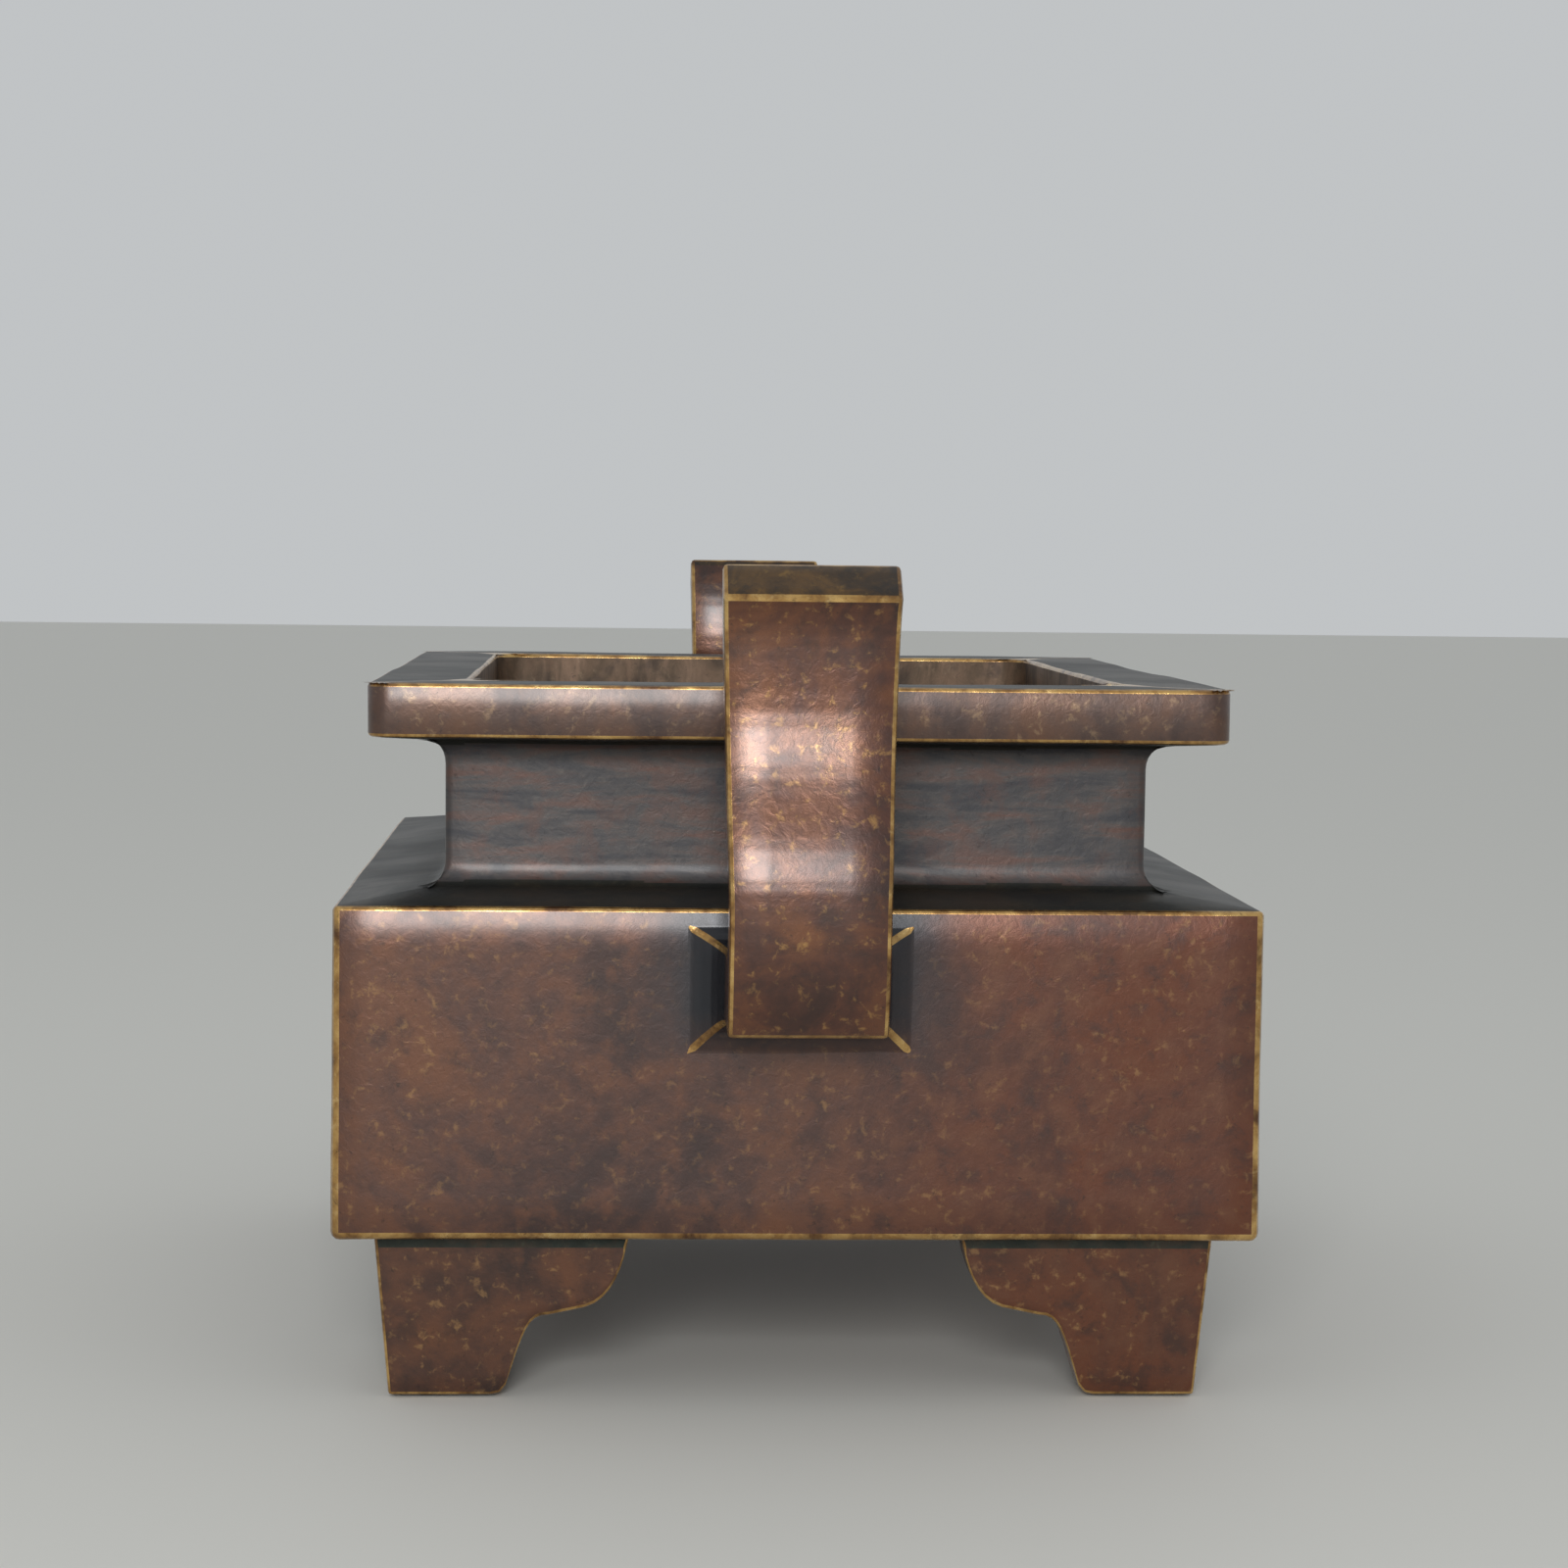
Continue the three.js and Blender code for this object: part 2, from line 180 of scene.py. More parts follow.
@dataclass(frozen=True)
class Bronze:
    """A metal under its patina: the patina's tones from deep to warm, its grain, flecks and gloss, and on
    some a painted shade and a painted sheen.
    """

    name: str
    deep: str
    middle: str
    warm: str
    fleck: str
    fleck_share: float = 0.6
    cloud_mm: float = 20.0
    fleck_mm: float = 1.3
    roughness: float = 0.36
    metallic: float = 0.45
    coat: float = 0.45
    relief_mm: float = 0.10
    grain: Grain = Grain.ROUND
    # A colour painted as shade round a handle's root, over patina that no hand rubs there
    painted_shade: str = ""
    painted_shade_reach_mm: tuple[float, float] = (11.5, 21.0)
    painted_shade_level_mm: tuple[float, float] = (38.0, 47.0)
    # A colour that turns the metal warmer towards +X: partly the patina's tone, partly painted sheen
    warm_side_and_sheen: str = ""

    def ready(self) -> bpy.types.Material:
        """Returns the finish's material, which is built the first time that it is asked for."""
        return bpy.data.materials.get(self.name) or self.make()

    def make(self) -> bpy.types.Material:
        """Builds the patina as a procedural material.

        Returns:
            The new material.
        """
        material = bpy.data.materials.new(self.name)
        material.use_nodes = True
        tree = material.node_tree
        shader = tree.nodes["Principled BSDF"]
        coordinates = add_node(tree, "TexCoord").outputs["Object"]
        grain = add_node(tree, "Mapping", {"Scale": self.grain.value}, {"Vector": coordinates})
        cloud = self._noise(tree, grain.outputs[0], self.cloud_mm, detail=6.0, distortion=0.6)
        colour = self._clouds(tree, cloud)
        # Warmer towards +X, partly as painted sheen
        if self.warm_side_and_sheen:
            colour = self._warm_and_sheen(tree, colour, coordinates, cloud)
        colour = self._flecks(tree, colour, coordinates, cloud)
        # Painted shade round the handle's root
        if self.painted_shade:
            colour = self._painted_shade(tree, colour, coordinates, cloud)
        tree.links.new(colour, shader.inputs["Base Color"])
        shader.inputs["Metallic"].default_value = self.metallic
        shader.inputs["Coat Weight"].default_value = self.coat
        shader.inputs["Coat Roughness"].default_value = WAX_ROUGHNESS
        self._gloss(tree, shader, coordinates, cloud)
        return material

    def _noise(self, tree: bpy.types.NodeTree, vector: bpy.types.NodeSocket, size_mm: float,
               detail: float = 4.0, distortion: float = 0.0) -> bpy.types.NodeSocket:
        """Adds a noise whose lumps have a real size.

        Args:
            tree: the node tree.
            vector: where the noise is read.
            size_mm: the size of its lumps.
            detail: how many finer octaves it has.
            distortion: how far it is stirred.

        Returns:
            The noise's value.
        """
        values = {"Scale": 1 / mm(size_mm), "Detail": detail, "Roughness": NOISE_ROUGHNESS,
                  "Distortion": distortion}
        return add_node(tree, "TexNoise", values, {"Vector": vector}).outputs[0]

    def _share(self, tree: bpy.types.NodeTree, value: bpy.types.NodeSocket,
               band: Band) -> bpy.types.NodeSocket:
        """Maps a value smoothly across a band.

        Args:
            tree: the node tree.
            value: the value to map.
            band: the values it runs between, and the share at each.

        Returns:
            The layer's share.
        """
        numbers = {"From Min": band.low, "From Max": band.high, "To Min": band.least, "To Max": band.most}
        node = add_node(tree, "MapRange", numbers, {"Value": value}, interpolation_type="SMOOTHSTEP")
        return node.outputs[0]

    def _product(self, tree: bpy.types.NodeTree, one: bpy.types.NodeSocket,
                 other: bpy.types.NodeSocket) -> bpy.types.NodeSocket:
        """Returns the product of two values."""
        return add_node(tree, "Math", links={0: one, 1: other}, operation="MULTIPLY").outputs[0]

    def _over(self, tree: bpy.types.NodeTree, below: bpy.types.NodeSocket, hex_colour: str,
              share: bpy.types.NodeSocket) -> bpy.types.NodeSocket:
        """Lays a colour over another one.

        Args:
            tree: the node tree.
            below: the colour underneath.
            hex_colour: the colour on top.
            share: how much of it shows, from 0 to 1.

        Returns:
            The two colours mixed.
        """
        links = {MIX_SHARE: share, MIX_BELOW: below}
        mix = add_node(tree, "Mix", {MIX_ABOVE: linear(hex_colour)}, links, data_type="RGBA")
        return mix.outputs[MIX_RESULT]

    def _clouds(self, tree: bpy.types.NodeTree, cloud: bpy.types.NodeSocket) -> bpy.types.NodeSocket:
        """Colours the patina's broad clouds, from its deep tone to its warm one.

        Args:
            tree: the node tree.
            cloud: the broad clouds' value.

        Returns:
            The clouds' colour.
        """
        ramp = add_node(tree, "ValToRGB", links={0: cloud})
        stops = ramp.color_ramp.elements
        low, centre, high = CLOUD_STOPS
        stops[0].position, stops[0].color = low, linear(self.deep)
        stops[1].position, stops[1].color = high, linear(self.warm)
        middle = stops.new(centre)
        middle.color = linear(self.middle)
        return ramp.outputs[0]

    def _flecks(self, tree: bpy.types.NodeTree, colour: bpy.types.NodeSocket, place: bpy.types.NodeSocket,
                cloud: bpy.types.NodeSocket) -> bpy.types.NodeSocket:
        """Adds a mottle, small worn flecks that are denser in the warm clouds, and fine dark pores.

        Args:
            tree: the node tree.
            colour: the colour so far.
            place: the place on the metal.
            cloud: the broad clouds' value.

        Returns:
            The colour with flecks.
        """
        mottle = self._noise(tree, place, self.fleck_mm * MOTTLE_COARSENESS, detail=9.0, distortion=0.3)
        colour = self._over(tree, colour, self.warm, self._share(tree, mottle, WARM_MOTTLE))
        colour = self._over(tree, colour, self.deep, self._share(tree, mottle, DEEP_MOTTLE))
        fleck = self._noise(tree, place, self.fleck_mm, detail=10.0, distortion=0.35)
        share = self._share(tree, fleck, Band(*FLECK_VALUES, most=self.fleck_share))
        density = self._share(tree, cloud, FLECKS_IN_CLOUDS)
        colour = self._over(tree, colour, self.fleck, self._product(tree, share, density))
        pore = self._noise(tree, place, self.fleck_mm * PORE_FINENESS, detail=7.0, distortion=0.5)
        return self._over(tree, colour, PORE_COLOUR, self._share(tree, pore, PORES))

    def _painted_shade(self, tree: bpy.types.NodeTree, colour: bpy.types.NodeSocket, place: bpy.types.NodeSocket,
               cloud: bpy.types.NodeSocket) -> bpy.types.NodeSocket:
        """Paints shade round the handle's root, over a dark patina that no hand rubs there.

        Args:
            tree: the node tree.
            colour: the colour so far.
            place: the place on the metal.
            cloud: the broad clouds' value, which frays the patch.

        Returns:
            The colour with the painted shade.
        """
        axes = add_node(tree, "SeparateXYZ", links={0: place})
        aside = add_node(tree, "Math", links={0: axes.outputs[0]}, operation="ABSOLUTE").outputs[0]
        near, far = self.painted_shade_reach_mm
        low, high = self.painted_shade_level_mm
        beside = self._share(tree, aside, Band(mm(near), mm(far), least=1.0, most=0.0))
        above = self._share(tree, axes.outputs[2], Band(mm(low), mm(high)))
        frayed = self._share(tree, cloud, FRAYED_PAINTED_SHADE)
        share = self._product(tree, self._product(tree, beside, above), frayed)
        return self._over(tree, colour, self.painted_shade, share)

    def _warm_and_sheen(self, tree: bpy.types.NodeTree, colour: bpy.types.NodeSocket, place: bpy.types.NodeSocket,
              cloud: bpy.types.NodeSocket) -> bpy.types.NodeSocket:
        """Turns the metal warmer towards +X: partly a warmer patina, partly painted sheen.

        Args:
            tree: the node tree.
            colour: the colour so far.
            place: the place on the metal.
            cloud: the broad clouds' value, which frays the turn.

        Returns:
            The colour with its warm side and painted sheen.
        """
        axes = add_node(tree, "SeparateXYZ", links={0: place})
        across = self._share(tree, axes.outputs[0], WARMTH_AND_SHEEN_ACROSS)
        frayed = self._share(tree, cloud, FRAYED_WARMTH_AND_SHEEN)
        return self._over(tree, colour, self.warm_side_and_sheen, self._product(tree, across, frayed))

    def _gloss(self, tree: bpy.types.NodeTree, shader: bpy.types.Node, place: bpy.types.NodeSocket,
               cloud: bpy.types.NodeSocket) -> None:
        """Gives the wax its uneven gloss and the casting its fine relief.

        Args:
            tree: the node tree.
            shader: the material's shader.
            place: the place on the metal.
            cloud: the broad clouds' value.
        """
        band = Band(*GLOSS_VALUES, least=self.roughness + DULLER, most=self.roughness - SHINIER)
        tree.links.new(self._share(tree, cloud, band), shader.inputs["Roughness"])
        skin = self._noise(tree, place, CASTING_SKIN_MM, detail=8.0, distortion=0.8)
        heights = {"Strength": RELIEF_STRENGTH, "Distance": mm(self.relief_mm)}
        relief = add_node(tree, "Bump", heights, {"Height": skin})
        tree.links.new(relief.outputs[0], shader.inputs["Normal"])


# Cast bronze, filed flat, patinated and waxed: red-brown clouds with a soft sheen, warmer on one side
# partly as painted sheen, and painted shade round the handle's root
BELLY = Bronze("waxed_cast_bronze_belly", deep="#35231f", middle="#4f3329", warm="#653e28",
               fleck="#8e693f", painted_shade="#1e2026", warm_side_and_sheen="#5f2d11")
# Cast bronze that hands don't reach: grey-brown, dull, streaked level by the file
NECK = Bronze("unhandled_cast_bronze_neck", deep="#37373b", middle="#494544", warm="#583f37",
              fleck="#6f675e", fleck_share=0.3, grain=Grain.LEVEL, cloud_mm=4.0, roughness=0.45, coat=0.2)
# Bronze painted almost black, with little sheen: painted dark reflection on the rim's top, painted shade
# under the rim, and the dark shoulder
SHOULDER = Bronze("dark_bronze_painted_reflection_and_shade", deep="#181918", middle="#22231f", warm="#2f281e",
                  fleck="#4a4534", fleck_share=0.3, roughness=0.5, metallic=0.2, coat=0.1)
# Cast bronze rubbed by hands: brown, with upright streaks
RIM_SIDE = Bronze("rubbed_cast_bronze_rim", deep="#3a2a26", middle="#4f3a31", warm="#5e402f",
                  fleck="#94795a", grain=Grain.UPRIGHT, cloud_mm=12.0)
# Bare coppery bronze inside the mouth: dull, with upright streaks
MOUTH = Bronze("raw_coppery_bronze_mouth", deep="#33261e", middle="#51402f", warm="#6b5340",
               fleck="#85705a", fleck_share=0.4, grain=Grain.UPRIGHT, cloud_mm=9.0, roughness=0.55,
               coat=0.0)
# Cast bronze under soot: near black and rough
CHAMBER = Bronze("sooty_cast_bronze_chamber", deep="#1c1512", middle="#2c211a", warm="#3d2d22",
                 fleck="#574230", fleck_share=0.3, roughness=0.65, metallic=0.3, coat=0.0)
# Cast bronze polished by handling: glossy red-brown with gold flecks
HANDLE = Bronze("waxed_cast_bronze_handle", deep="#321d16", middle="#4e2b1d", warm="#6b3f22",
                fleck="#a57c42", fleck_share=0.75, cloud_mm=13.0, roughness=0.3, coat=0.6)
# The handle's cut end: dark, with a gold tinge
LIP = Bronze("dark_gold_bronze_lip", deep="#24190d", middle="#3c290f", warm="#5d4119",
             fleck="#7d5e28", cloud_mm=5.0)
# Cast bronze, patinated and waxed: small clouds and many flecks, warmer towards +X partly as painted sheen
FOOT = Bronze("waxed_cast_bronze_foot", deep="#33221c", middle="#4e3124", warm="#643e28",
              fleck="#9c7648", fleck_share=0.7, cloud_mm=12.0, warm_side_and_sheen="#63341b")
# Painted shadow of the belly's overhang along the top of each foot: dull dark green
PAINTED_OVERHANG_SHADOW = Bronze("painted_overhang_shadow", deep="#1f251d", middle="#2a3029", warm="#403326",
              fleck="#535a49", fleck_share=0.4, cloud_mm=6.0, roughness=0.6, metallic=0.3, coat=0.0)
# Edges rubbed through to bright metal: thin gold lines
EDGE = Bronze("rubbed_bronze_edge", deep="#5e3f24", middle="#a27a42", warm="#cda867",
              fleck="#e0c48c", fleck_share=0.5, cloud_mm=5.0, roughness=0.3, metallic=0.8)
# Hammered copper: dull and pinkish
COPPER = Bronze("hammered_copper_rivet", deep="#5c3626", middle="#7c4c38", warm="#986248",
                fleck="#b88463", cloud_mm=4.0, roughness=0.45)

# The slot of the rubbed edges on every piece, and the angles and sizes of hand finishing
EDGE_SLOT = 0
SHARP_ANGLE = math.radians(28)
SMOOTH_ANGLE = math.radians(32)
SWELL_MM = 26.0


class Workpiece:
    """One mesh under the hands: a block that is extruded, resized, bevelled and cut in edit mode."""

    def __init__(self, name: str, low: Vector, high: Vector) -> None:
        """Adds a block and opens it for editing.

        Args:
            name: the piece's name.
            low: its lowest corner, in metres.
            high: its highest corner.
        """
        bpy.ops.object.select_all(action="DESELECT")
        bpy.ops.mesh.primitive_cube_add(size=1, location=(low + high) / 2)
        self.piece = bpy.context.object
        self.piece.name = self.piece.data.name = name
        self.piece.scale = high - low
        bpy.ops.object.transform_apply(location=True, rotation=True, scale=True)
        for finish in (EDGE, BELLY):
            self.piece.data.materials.append(finish.ready())
        for face in self.piece.data.polygons:
            face.material_index = 1
        self.open()

    def open(self) -> None:
        """Opens the mesh for editing, by its faces and edges."""
        bpy.context.view_layer.objects.active = self.piece
        bpy.ops.object.mode_set(mode="EDIT")
        bpy.ops.mesh.select_mode(type="FACE")

    def close(self) -> None:
        """Leaves edit mode."""
        bpy.ops.object.mode_set(mode="OBJECT")

    def pick_faces(self, wanted: Callable[[Vector, Vector], bool]) -> None:
        """Selects faces by their middle, in millimetres, and their normal.

        Args:
            wanted: says whether a face with this middle and normal is selected.
        """
        bpy.ops.mesh.select_mode(type="FACE")
        bpy.ops.mesh.select_all(action="DESELECT")
        mesh = bmesh.from_edit_mesh(self.piece.data)
        for face in mesh.faces:
            face.select_set(wanted(face.calc_center_median() / MILLIMETRE, face.normal))
        bmesh.update_edit_mesh(self.piece.data)

    def pick_edges(self, wanted: Callable[[Vector, Vector], bool]) -> None:
        """Selects edges by their two ends, in millimetres.

        Args:
            wanted: says whether an edge with these ends is selected.
        """
        bpy.ops.mesh.select_mode(type="EDGE")
        bpy.ops.mesh.select_all(action="DESELECT")
        mesh = bmesh.from_edit_mesh(self.piece.data)
        for edge in mesh.edges:
            one, other = (end.co / MILLIMETRE for end in edge.verts)
            edge.select_set(wanted(one, other))
        bmesh.update_edit_mesh(self.piece.data)

    def extrude(self, x: float, y: float, z: float) -> None:
        """Pulls the selected faces out by an offset in millimetres."""
        move = {"value": (mm(x), mm(y), mm(z))}
        bpy.ops.mesh.extrude_region_move(TRANSFORM_OT_translate=move)

    def resize(self, x: float, y: float, z: float, centre: tuple[float, float, float]) -> None:
        """Scales what is selected about a point in millimetres."""
        middle = tuple(mm(c) for c in centre)
        bpy.ops.transform.resize(value=(x, y, z), center_override=middle)

    def move_picked_ends(self, wanted: Callable[[Vector], bool],
                         offset: tuple[float, float, float]) -> None:
        """Moves points of the selected faces, then selects the faces again.

        Args:
            wanted: says whether a point, in millimetres, is moved.
            offset: how far, in millimetres.
        """
        mesh = bmesh.from_edit_mesh(self.piece.data)
        kept = [face.index for face in mesh.faces if face.select]
        bpy.ops.mesh.select_mode(type="VERT")
        mesh = bmesh.from_edit_mesh(self.piece.data)
        for point in mesh.verts:
            point.select_set(point.select and wanted(point.co / MILLIMETRE))
        bmesh.update_edit_mesh(self.piece.data)
        bpy.ops.transform.translate(value=tuple(mm(c) for c in offset))
        bpy.ops.mesh.select_mode(type="FACE")
        bpy.ops.mesh.select_all(action="DESELECT")
        mesh = bmesh.from_edit_mesh(self.piece.data)
        mesh.faces.ensure_lookup_table()
        for index in kept:
            mesh.faces[index].select_set(True)
        bmesh.update_edit_mesh(self.piece.data)

    def bevel(self, width: float, segments: int, wanted: Callable[[Vector, Vector], bool],
              rubbed: bool = False) -> None:
        """Rounds edges that are chosen by their two ends.

        Args:
            width: the round's width in millimetres.
            segments: how many facets it has.
            wanted: says whether an edge with these ends is rounded.
            rubbed: whether the round is worn through to bright metal.
        """
        self.pick_edges(wanted)
        slot = EDGE_SLOT if rubbed else -1
        bpy.ops.mesh.bevel(offset=mm(width), segments=segments, affect="EDGES", clamp_overlap=False,
                           material=slot)

    def slice(self, axis: int, levels: list[float]) -> None:
        """Cuts level lines through the whole mesh, so that it can take a gentle unevenness.

        Args:
            axis: 0, 1 or 2 for X, Y or Z.
            levels: where to cut, in millimetres.
        """
        normal = tuple(float(i == axis) for i in range(3))
        for level in levels:
            bpy.ops.mesh.select_all(action="SELECT")
            bpy.ops.mesh.bisect(plane_co=tuple(mm(level) * n for n in normal), plane_no=normal)

    def finish(self, levels: int, wobble_mm: float, worn_mm: float = 0.0) -> bpy.types.Object:
        """Softens the edges, makes the mesh fine and leaves the unevenness of a hand-finished casting.

        Args:
            levels: how often each face is divided.
            wobble_mm: how far the surface may stray either way.
            worn_mm: the width of the rubbed bevel on every sharp edge, or 0 for none.

        Returns:
            The finished object.
        """
        self.close()
        if worn_mm:
            self._modifier("BEVEL", width=mm(worn_mm), segments=EDGE_FACETS, limit_method="ANGLE",
                           angle_limit=SHARP_ANGLE, material=EDGE_SLOT, use_clamp_overlap=False)
        self._modifier("SUBSURF", subdivision_type="SIMPLE", levels=levels, render_levels=levels)
        swell = bpy.data.textures.new("hand_finish", "CLOUDS")
        swell.noise_scale = mm(SWELL_MM)
        swell.noise_depth = 1
        self._modifier("DISPLACE", texture=swell, texture_coords="LOCAL", strength=mm(2 * wobble_mm),
                       mid_level=0.5)
        bpy.ops.object.select_all(action="DESELECT")
        self.piece.select_set(True)
        bpy.ops.object.shade_smooth_by_angle(angle=SMOOTH_ANGLE)
        return self.piece

    def _modifier(self, kind: str, **settings: object) -> None:
        """Adds a modifier with its settings and applies it.

        Args:
            kind: the modifier's type.
            **settings: its properties.
        """
        bpy.context.view_layer.objects.active = self.piece
        modifier = self.piece.modifiers.new(kind.lower(), kind)
        for name, value in settings.items():
            setattr(modifier, name, value)
        bpy.ops.object.modifier_apply(modifier=modifier.name)


def at(value: float, target: float) -> bool:
    """Says whether a coordinate in millimetres is at a target."""
    return abs(value - target) < PLACE_TOLERANCE


def dress(piece: bpy.types.Object, finishes: list[Bronze],
          choose: Callable[[Vector, Vector], Bronze]) -> None:
    """Gives each face of a piece its finish, apart from the rubbed edges, which have theirs.

    Args:
        piece: the mesh object.
        finishes: the finishes that choose may give.
        choose: gives the finish for a face's middle, in millimetres, and its normal.
    """
    rubbed = [face.material_index == EDGE_SLOT for face in piece.data.polygons]
    piece.data.materials.clear()
    slots = {}
    for slot, finish in enumerate((EDGE, *finishes)):
        piece.data.materials.append(finish.ready())
        slots[finish.name] = slot
    for face, is_edge in zip(piece.data.polygons, rubbed):
        chosen = slots[choose(face.center / MILLIMETRE, face.normal).name]
        face.material_index = EDGE_SLOT if is_edge else chosen


@dataclass
class Vessel:
    """The hollow casting: belly, shoulder, waisted neck, flat rim and the room inside. Millimetres."""

    width: float
    length: float
    underside: float
    rim_top: float
    skin: float = 0.25
    belly_height: float = 38.8
    shoulder_rise: float = 1.6
    neck_inset: float = 12.5
    neck_fillet: float = 2.8
    rim_inset: float = 3.6
    rim_thickness: float = 6.5
    rim_under_rise: float = 0.75
    rim_flange: float = 11.5
    rim_corner: float = 2.6
    mouth_corner: float = 4.0
    wall: float = 3.2
    bottom_thickness: float = 4.0
    shoulder_thickness: float = 3.4
    upright_edge: float = 0.9
    neck_corner: float = 1.0
    lower_edge: float = 0.9
    upper_edge: float = 0.45
    rim_under_edge: float = 0.4
    least_upright: float = 1.0

    # Where level cuts go, so that the faces can take the unevenness of hand work
    cut_across: float = 9.0
    cuts_across: int = 5
    cut_along: float = 9.5
    cuts_along: int = 6
    cut_levels: tuple[float, ...] = (0.25, 0.5, 0.75)

    # How far past a zone's own line its finish reaches, and how far up a normal points
    mouth_margin: float = 0.6
    chamber_margin: float = 0.4
    neck_margin: float = 0.8
    floor_margin: float = 1.0
    rim_margin: float = 0.5
    shoulder_margin: float = 0.2
    rim_under_margin: float = 0.1
    lying: float = 0.8
    standing: float = 0.6

    @classmethod
    def from_frame(cls) -> "Vessel":
        """Reads the casting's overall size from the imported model."""
        low, high = (Vector(corner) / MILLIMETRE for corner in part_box("body"))
        return cls(high.x - low.x, high.y - low.y, low.z, high.z)

    @property
    def belly_top(self) -> float:
        """The level of the shoulder's edge."""
        return self.underside + self.belly_height

    @property
    def rim_under(self) -> float:
        """The level of the rim's lower edge."""
        return self.rim_top - self.rim_thickness

    def half(self, inset: float) -> tuple[float, float]:
        """Returns half the width and half the length at an inset from the belly's side."""
        return (self.width / 2 - inset, self.length / 2 - inset)

    def step(self, work: Workpiece, inset_from: float, inset_to: float, rise: float) -> None:
        """Pulls the selected level face up and draws it in or out.

        Args:
            work: the mesh under the hands.
            inset_from: the face's inset now.
            inset_to: its inset afterwards.
            rise: how far it rises, or falls if negative.
        """
        work.extrude(0, 0, rise)
        (x0, y0), (x1, y1) = self.half(inset_from), self.half(inset_to)
        work.resize(x1 / x0, y1 / y0, 1, (0, 0, 0))

    def model(self) -> bpy.types.Object:
        """Models the casting from one block.

        Returns:
            The casting's object.
        """
        half_x, half_y = self.half(self.skin)
        low = Vector((-half_x, -half_y, self.underside + self.skin)) * MILLIMETRE
        high = Vector((half_x, half_y, self.belly_top)) * MILLIMETRE
        work = Workpiece("vessel", low, high)
        neck_head = self.rim_under - self.rim_under_rise
        neck_foot = self.belly_top + self.shoulder_rise
        rim = self.rim_inset + self.skin
        mouth = self.rim_inset + self.rim_flange
        chamber_top = self.belly_top - self.shoulder_thickness
        floor = self.underside + self.bottom_thickness
        top = self.rim_top - self.skin
        work.pick_faces(lambda middle, normal: normal.z > SQUARELY)
        for inset_from, inset_to, rise in (
            (self.skin, self.neck_inset, neck_foot - self.belly_top),
            (self.neck_inset, self.neck_inset, neck_head - neck_foot),
            (self.neck_inset, rim, self.rim_under_rise),
            (rim, rim, top - self.rim_under),
            (rim, mouth, 0),
            (mouth, mouth, chamber_top - top),
            (mouth, self.wall, 0),
            (self.wall, self.wall, floor - chamber_top),
        ):
            self.step(work, inset_from, inset_to, rise)
        self._round(work, rim, mouth, neck_foot, neck_head, top)
        work.slice(0, [self.cut_across * i for i in range(-self.cuts_across, self.cuts_across + 1)])
        work.slice(1, [self.cut_along * i for i in range(-self.cuts_along, self.cuts_along + 1)])
        work.slice(2, [self.underside + self.belly_height * share for share in self.cut_levels])
        return work.finish(levels=1, wobble_mm=0.2)

    def _round(self, work: Workpiece, rim: float, mouth: float, neck_foot: float, neck_head: float,
               top: float) -> None:
        """Rounds the casting's corners and edges, the upright ones first.

        Args:
            work: the mesh under the hands.
            rim: the rim's inset.
            mouth: the mouth's inset.
            neck_foot: the level where the neck begins.
            neck_head: the level where it ends.
            top: the rim's top level.
        """
        def corner(inset: float) -> Callable[[Vector, Vector], bool]:
            """Chooses the upright edges at an inset."""
            place = self.half(inset)
            return lambda a, b: abs(a.z - b.z) > self.least_upright and all(
                at(abs(p[axis]), place[axis]) for p in (a, b) for axis in (0, 1))

        def level_ring(level: float) -> Callable[[Vector, Vector], bool]:
            """Chooses all edges that lie at a height."""
            return lambda a, b: at(a.z, level) and at(b.z, level)

        work.bevel(self.upright_edge, EDGE_FACETS, corner(self.skin), rubbed=True)
        work.bevel(self.neck_corner, CORNER_FACETS, corner(self.neck_inset))
        work.bevel(self.rim_corner, ROUND_FACETS, corner(rim))
        work.bevel(self.mouth_corner, ROUND_FACETS, corner(mouth))
        work.bevel(self.neck_fillet, ROUND_FACETS, level_ring(neck_foot))
        work.bevel(self.neck_fillet, ROUND_FACETS, level_ring(neck_head))
        work.bevel(self.lower_edge, CORNER_FACETS, level_ring(self.underside + self.skin), rubbed=True)
        work.bevel(self.upper_edge, EDGE_FACETS, level_ring(self.belly_top), rubbed=True)
        work.bevel(self.rim_under_edge, EDGE_FACETS, level_ring(self.rim_under), rubbed=True)
        work.bevel(self.upper_edge, EDGE_FACETS, level_ring(top), rubbed=True)

    def within(self, middle: Vector, inset: float) -> bool:
        """Says whether a place lies inside the upright walls at an inset, whatever its level."""
        half_x, half_y = self.half(inset)
        return abs(middle.x) < half_x and abs(middle.y) < half_y

    def zone(self, middle: Vector, normal: Vector) -> Bronze:
        """Chooses a face's finish.

        Args:
            middle: the face's middle in millimetres.
            normal: its normal.

        Returns:
            The finish.
        """
        above_floor = middle.z > self.underside + self.floor_margin
        in_chamber = self.within(middle, self.wall - self.chamber_margin)
        if above_floor and in_chamber and middle.z < self.belly_top - self.floor_margin:
            return CHAMBER
        in_mouth = self.within(middle, self.rim_inset + self.rim_flange - self.mouth_margin)
        if above_floor and in_mouth and middle.z < self.rim_top - self.rim_margin:
            return MOUTH if middle.z > self.belly_top else CHAMBER
        if middle.z < self.belly_top - self.shoulder_margin:
            return BELLY
        if middle.z > self.rim_under - self.rim_under_margin:
            # On the rim's top the near-black finish is painted dark reflection
            return SHOULDER if normal.z > self.lying else RIM_SIDE
        on_neck = self.within(middle, self.neck_inset - self.neck_margin)
        # Faces off the upright neck take the near-black finish: the shoulder, and under the rim as painted
        # shade
        return NECK if on_neck and abs(normal.z) < self.standing else SHOULDER

